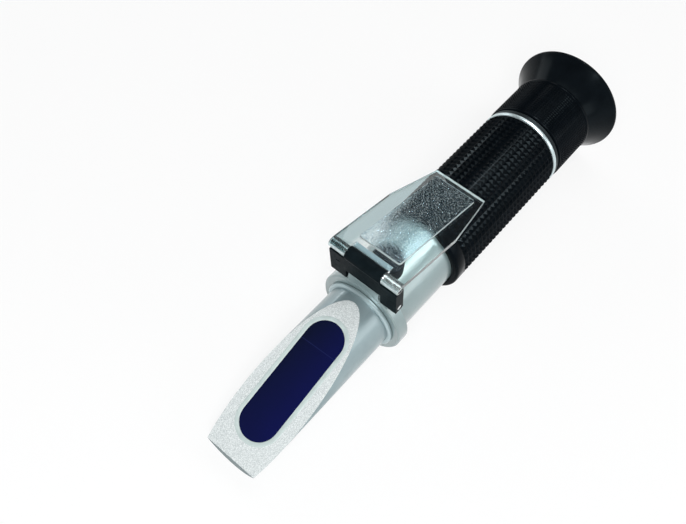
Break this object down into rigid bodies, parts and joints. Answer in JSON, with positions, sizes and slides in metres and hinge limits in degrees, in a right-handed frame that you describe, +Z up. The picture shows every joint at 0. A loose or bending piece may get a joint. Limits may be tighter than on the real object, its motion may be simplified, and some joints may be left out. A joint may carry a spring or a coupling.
{
  "type": "handheld refractometer",
  "caption": "Handheld refractometer with a sloped prism face, a clear lid on a double hinge, a knurled grip and a focusing eyepiece with a flared eyecup.",
  "frame": {"origin": "under the middle of the instrument, level with the lowest point of the eyecup rim", "axes": "+X along the optical axis from the prism tip to the eyecup, +Z up on the side of the prism face and lid, the optical axis 19.4 mm above the origin"},
  "size_m": [0.17, 0.0388, 0.0479],
  "materials": {
    "satin_metal": "satin",
    "satin_aluminium": "satin",
    "bright_aluminium": "satin",
    "prism_glass": "polished",
    "seal_bead": "satin",
    "seal_rubber": "satin",
    "grip_rubber": "satin",
    "cap_rubber": "matte",
    "hinge_plastic": "satin",
    "clear_acrylic": "gloss",
    "chrome_pin": "polished",
    "focus_plastic": "satin",
    "eyecup_plastic": "gloss",
    "black_aluminium": "matte",
    "inner_plastic": "matte",
    "optical_glass": "polished",
    "brass": "satin",
    "spring_steel": "satin"
  },
  "bodies": {
    "body": {"prism_housing": "satin_metal", "main_prism": "prism_glass", "prism_seal": "seal_bead", "prism_bed": "seal_rubber", "exit_mask": "black_aluminium", "housing_seal": "seal_rubber", "lock_ring": "satin_metal", "hinge_collar": "satin_aluminium", "body_tube": "satin_aluminium", "grip_sleeve": "grip_rubber", "trim_ring": "bright_aluminium", "eyepiece_mount": "black_aluminium", "guide_pin": "spring_steel", "damping_ring": "seal_rubber", "screw_boss": "brass", "light_baffle": "inner_plastic", "reticle_holder": "black_aluminium", "reticle": "optical_glass", "reticle_ring": "black_aluminium", "reticle_screws": "spring_steel"},
    "link": {"hinge_link": "hinge_plastic", "link_pin": "chrome_pin", "lid_pins": "chrome_pin"},
    "lid": {"daylight_lid": "clear_acrylic"},
    "cap": {"screw_cap": "cap_rubber"},
    "zero_screw": {"calibration_screw": "brass"},
    "objective": {"compensator_ring": "black_aluminium", "bimetal_strip": "spring_steel", "strip_screws": "spring_steel", "objective_cell": "black_aluminium", "objective_lens": "optical_glass", "cell_ring": "black_aluminium"},
    "ocular": {"lens_barrel": "inner_plastic", "field_lens": "optical_glass", "lens_spacer": "inner_plastic", "eye_lens": "optical_glass", "barrel_ring": "inner_plastic"},
    "focus_ring": {"focusing_ring": "focus_plastic", "eyecup": "eyecup_plastic"}
  },
  "joints": [
    {"name": "link_hinge", "type": "hinge", "parent": "body", "child": "link", "pos_m": [-0.0272, 0, 0.03465], "axis": [0, -1, 0], "range_deg": [0, 104.1]},
    {"name": "lid_hinge", "type": "hinge", "parent": "link", "child": "lid", "pos_m": [-0.0282, 0, 0.04581], "axis": [0, -1, 0], "range_deg": [0, 107.6]},
    {"name": "cap_pull", "type": "slide", "parent": "body", "child": "cap", "axis": [0, 0, 1], "range_m": [0, 0.005]},
    {"name": "zero_turn", "type": "hinge", "parent": "body", "child": "zero_screw", "pos_m": [-0.0178, 0, 0.0314], "axis": [0, 0, 1], "range_deg": [-360, 360]},
    {"name": "carrier_slide", "type": "slide", "parent": "body", "child": "objective", "axis": [0, 0, 1], "range_m": [-0.00034, 0.00034]},
    {"name": "focus_slide", "type": "slide", "parent": "body", "child": "ocular", "axis": [1, 0, 0], "range_m": [-0.00051, 0.00151]},
    {"name": "focus_turn", "type": "hinge", "parent": "ocular", "child": "focus_ring", "pos_m": [0.065, 0, 0.0194], "axis": [1, 0, 0], "range_deg": [-90, 270]}
  ],
  "couplings": [
    {"joint": "zero_turn", "follows": "carrier_slide", "rad_per_m": -17952},
    {"joint": "focus_slide", "follows": "focus_turn", "m_per_rad": 0.00031831}
  ]
}
